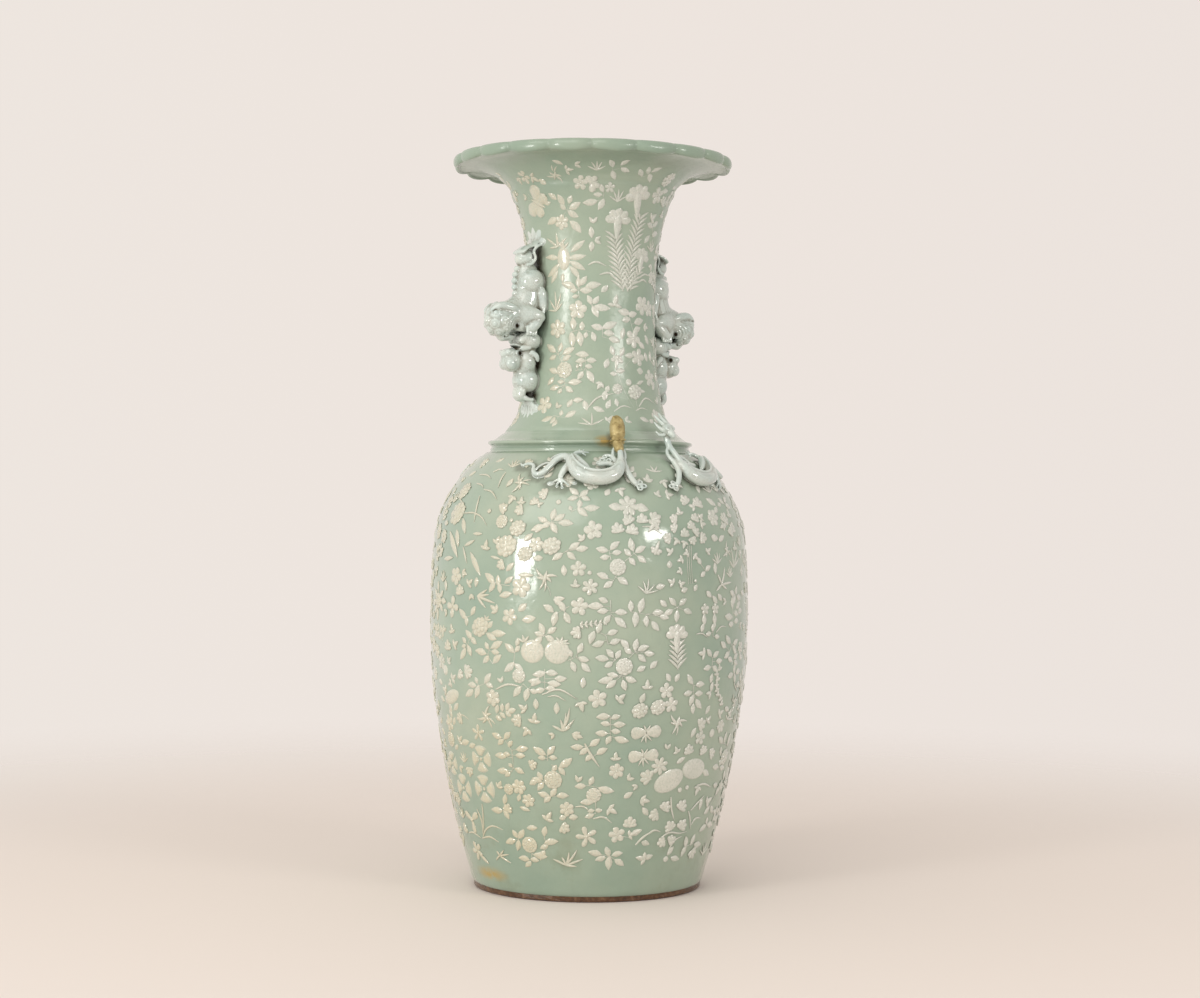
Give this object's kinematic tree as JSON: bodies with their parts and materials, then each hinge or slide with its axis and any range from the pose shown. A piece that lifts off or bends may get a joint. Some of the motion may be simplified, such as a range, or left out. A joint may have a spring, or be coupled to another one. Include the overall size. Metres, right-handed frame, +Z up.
{
  "type": "baluster floor vase",
  "caption": "Tall baluster porcelain vase with a lobed trumpet mouth, lion handles, shoulder dragons, raised slip flowers and an unglazed foot.",
  "frame": {"origin": "centre of the foot's standing ring, on the surface the vase stands on", "axes": "+Z up along the vase's axis; the two lion handles lie along X and the front is -Y"},
  "size_m": [0.2621, 0.2622, 0.6],
  "materials": {
    "celadon_glaze": "glossy pale sea-green celadon glaze, bluer where it pools, faint mottling",
    "figure_glaze": "glossy paler blue-green glaze over modelled figures, olive stain in the hollows",
    "white_slip": "raised off-white slip flowers under a thin clear glaze, cream stain low on the body",
    "base_glaze": "thin pale glaze on the recessed base",
    "biscuit": "bare fired clay, dark brown, dull and slightly rough",
    "gilt": "dull gold lacquer over a plaster replacement"
  },
  "bodies": {
    "root": {"foot_ring": "biscuit", "base_disc": "base_glaze", "lower_body": "celadon_glaze", "upper_body": "celadon_glaze", "shoulder_ridge": "celadon_glaze", "neck": "celadon_glaze", "mouth_rim": "celadon_glaze", "left_lion_body": "figure_glaze", "left_lion_head": "figure_glaze", "left_lion_tail": "figure_glaze", "left_cub_body": "figure_glaze", "left_cub_head": "figure_glaze", "right_lion_body": "figure_glaze", "right_lion_head": "figure_glaze", "right_lion_tail": "figure_glaze", "right_cub_body": "figure_glaze", "right_cub_head": "figure_glaze", "front_left_dragon": "figure_glaze", "front_left_dragon_gilt_head": "gilt", "front_right_dragon": "figure_glaze", "front_right_dragon_head": "figure_glaze", "back_left_dragon": "figure_glaze", "back_left_dragon_head": "figure_glaze", "back_right_dragon": "figure_glaze", "back_right_dragon_head": "figure_glaze"}
  },
  "joints": []
}
